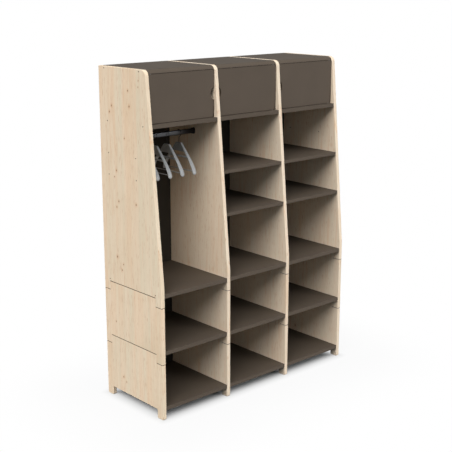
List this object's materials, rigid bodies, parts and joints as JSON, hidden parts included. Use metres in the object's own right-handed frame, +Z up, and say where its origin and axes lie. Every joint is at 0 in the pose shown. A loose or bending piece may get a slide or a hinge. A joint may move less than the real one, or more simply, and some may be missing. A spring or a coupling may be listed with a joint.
{
  "type": "wardrobe",
  "caption": "Wardrobe of side-by-side columns: stacked pale wood uprights with a sloping front, dark painted shelves and doors, and a rail with coat hangers.",
  "frame": {"origin": "centre of the floor area that the wardrobe covers, on the floor", "axes": "+Z up; the doors and open sides face -Y; +X to the right as seen from the front"},
  "size_m": [1.524, 0.55, 2.015],
  "materials": {
    "pale_wood": "pale jointed softwood boards, satin lacquer",
    "painted_board": "dark grey-brown paint, smooth matt",
    "back_board": "dark grey-brown thin board, matt",
    "door_front": "dark grey-brown paint, smooth matt",
    "rail_metal": "dark grey satin",
    "pivot_pin": "plain zinc-plated steel",
    "hanger_plastic": "light grey, satin",
    "hook_wire": "dark wire"
  },
  "bodies": {
    "frame": {"upright_1_bottom": "pale_wood", "upright_1_middle": "pale_wood", "upright_1_top": "pale_wood", "upright_2_bottom": "pale_wood", "upright_2_middle": "pale_wood", "upright_2_top": "pale_wood", "upright_3_bottom": "pale_wood", "upright_3_middle": "pale_wood", "upright_3_top": "pale_wood", "upright_4_bottom": "pale_wood", "upright_4_middle": "pale_wood", "upright_4_top": "pale_wood", "floor_1_bottom": "painted_board", "floor_1_middle": "painted_board", "floor_1_top": "painted_board", "floor_2_bottom": "painted_board", "floor_2_middle": "painted_board", "floor_2_top": "painted_board", "floor_3_bottom": "painted_board", "floor_3_middle": "painted_board", "floor_3_top": "painted_board", "door_shelf_1": "painted_board", "door_shelf_2": "painted_board", "door_shelf_3": "painted_board", "shelf_2_lower": "painted_board", "shelf_2_upper": "painted_board", "shelf_3_lower": "painted_board", "shelf_3_upper": "painted_board", "top_board_1": "painted_board", "top_board_2": "painted_board", "top_board_3": "painted_board", "back_panel_1_bottom": "back_board", "back_panel_1_middle": "back_board", "back_panel_1_top": "back_board", "back_panel_2_bottom": "back_board", "back_panel_2_middle": "back_board", "back_panel_2_top": "back_board", "back_panel_3_bottom": "back_board", "back_panel_3_middle": "back_board", "back_panel_3_top": "back_board", "pivot_1_lower": "pivot_pin", "pivot_1_upper": "pivot_pin", "pivot_2_lower": "pivot_pin", "pivot_2_upper": "pivot_pin", "pivot_3_lower": "pivot_pin", "pivot_3_upper": "pivot_pin", "clothes_rail": "rail_metal", "rail_socket_left": "rail_metal", "rail_socket_right": "rail_metal"},
    "left_door": {"door_1": "door_front"},
    "middle_door": {"door_2": "door_front"},
    "right_door": {"door_3": "door_front"},
    "hook_1": {"hanger_hook_1": "hook_wire"},
    "hanger_1_frame": {"hanger_1": "hanger_plastic"},
    "hook_2": {"hanger_hook_2": "hook_wire"},
    "hanger_2_frame": {"hanger_2": "hanger_plastic"},
    "hook_3": {"hanger_hook_3": "hook_wire"},
    "hanger_3_frame": {"hanger_3": "hanger_plastic"},
    "hook_4": {"hanger_hook_4": "hook_wire"},
    "hanger_4_frame": {"hanger_4": "hanger_plastic"}
  },
  "joints": [
    {"name": "left_door_swing", "type": "hinge", "parent": "frame", "child": "left_door", "pos_m": [-0.718, -0.153, 1.8546], "axis": [0, 0, -1], "range_deg": [0, 95]},
    {"name": "middle_door_swing", "type": "hinge", "parent": "frame", "child": "middle_door", "pos_m": [0.218, -0.153, 1.8546], "axis": [0, 0, 1], "range_deg": [0, 95]},
    {"name": "right_door_swing", "type": "hinge", "parent": "frame", "child": "right_door", "pos_m": [0.718, -0.153, 1.8546], "axis": [0, 0, 1], "range_deg": [0, 95]},
    {"name": "hook_1_slide", "type": "slide", "parent": "frame", "child": "hook_1", "axis": [1, 0, 0], "range_m": [-0.018, 0.045]},
    {"name": "hanger_1_swivel", "type": "hinge", "parent": "hook_1", "child": "hanger_1_frame", "pos_m": [-0.64875, 0.025, 1.55], "axis": [0, 0, 1], "range_deg": [-20, 20]},
    {"name": "hook_2_slide", "type": "slide", "parent": "frame", "child": "hook_2", "axis": [1, 0, 0], "range_m": [-0.045, 0.045]},
    {"name": "hanger_2_swivel", "type": "hinge", "parent": "hook_2", "child": "hanger_2_frame", "pos_m": [-0.55825, 0.025, 1.55], "axis": [0, 0, 1], "range_deg": [-20, 20]},
    {"name": "hook_3_slide", "type": "slide", "parent": "frame", "child": "hook_3", "axis": [1, 0, 0], "range_m": [-0.045, 0.045]},
    {"name": "hanger_3_swivel", "type": "hinge", "parent": "hook_3", "child": "hanger_3_frame", "pos_m": [-0.46775, 0.025, 1.55], "axis": [0, 0, 1], "range_deg": [-20, 20]},
    {"name": "hook_4_slide", "type": "slide", "parent": "frame", "child": "hook_4", "axis": [1, 0, 0], "range_m": [-0.045, 0.04]},
    {"name": "hanger_4_swivel", "type": "hinge", "parent": "hook_4", "child": "hanger_4_frame", "pos_m": [-0.37725, 0.025, 1.55], "axis": [0, 0, 1], "range_deg": [-20, 20]}
  ]
}
